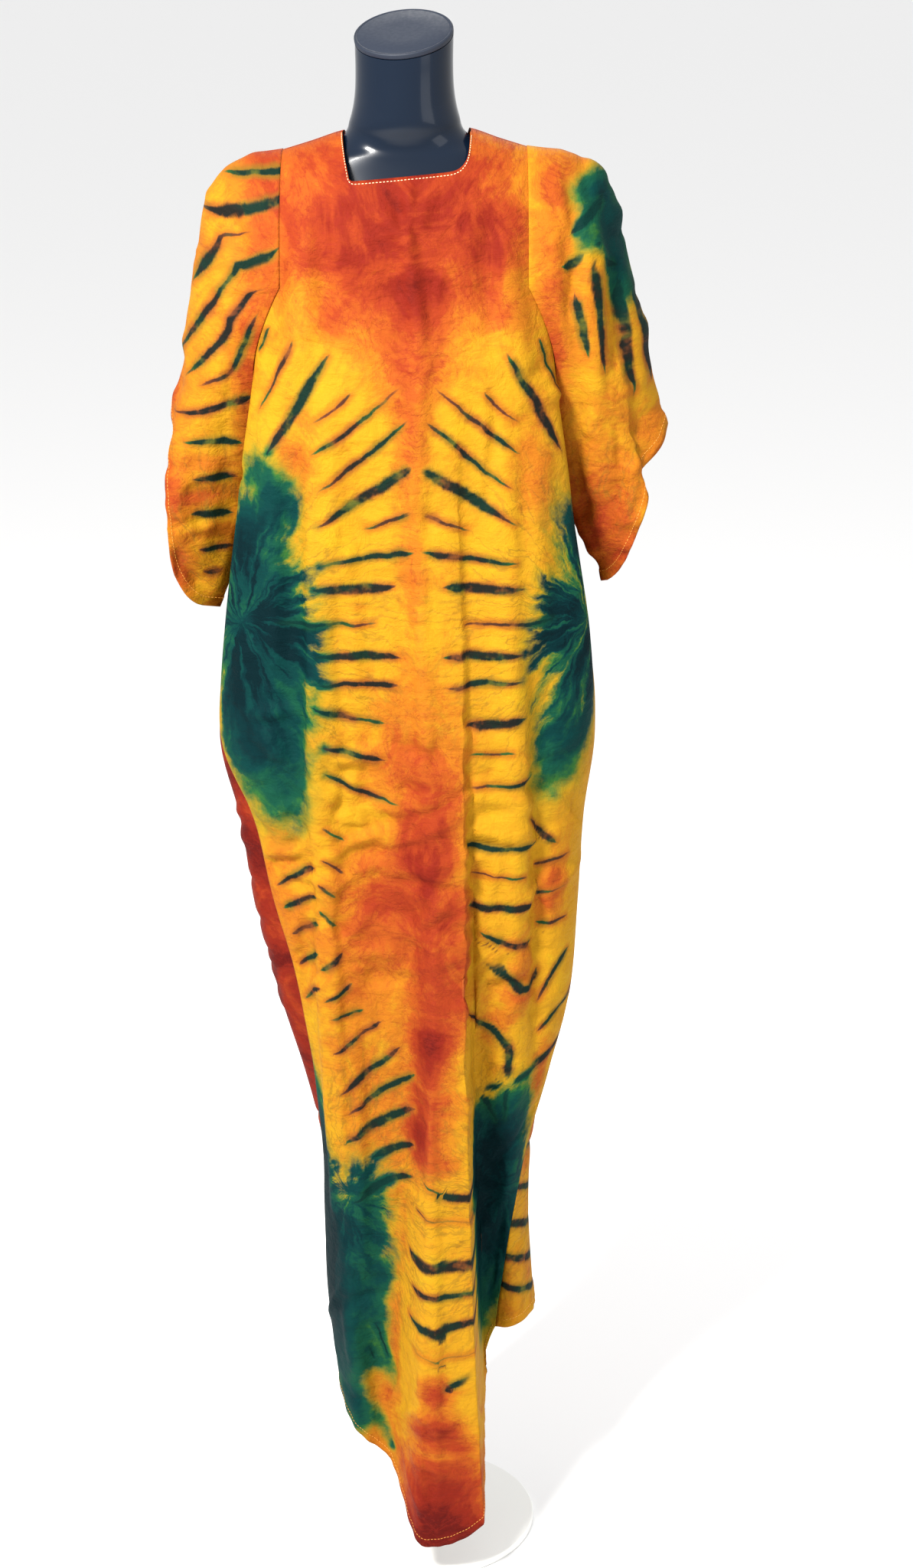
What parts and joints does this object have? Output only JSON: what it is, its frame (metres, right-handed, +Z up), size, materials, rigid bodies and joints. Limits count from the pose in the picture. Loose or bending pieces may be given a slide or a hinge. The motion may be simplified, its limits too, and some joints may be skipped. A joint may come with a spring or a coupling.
{
  "type": "house dress on dress form",
  "caption": "Long loose house dress with wide short sleeves and a deep front pleat, worn by a limbless dress form on a pole and a round foot.",
  "frame": {"origin": "on the floor, under the middle of the whole object's bounding box", "axes": "+Z up, -Y out of the dress's front, +X towards the wearer's left"},
  "size_m": [0.4976, 0.2697, 1.6489],
  "materials": {
    "dyed_cloth": "soft plain-woven rayon, tie-dyed in yellow, orange, red and green",
    "navy_gloss_plastic": "glossy",
    "matte_navy_plastic": "matte",
    "satin_white_metal": "satin white"
  },
  "bodies": {
    "root": {"dress_front": "dyed_cloth", "dress_back": "dyed_cloth", "sleeve_right": "dyed_cloth", "sleeve_left": "dyed_cloth", "form_torso": "navy_gloss_plastic", "form_cap": "matte_navy_plastic", "form_pole": "satin_white_metal", "form_base": "satin_white_metal"}
  },
  "joints": []
}
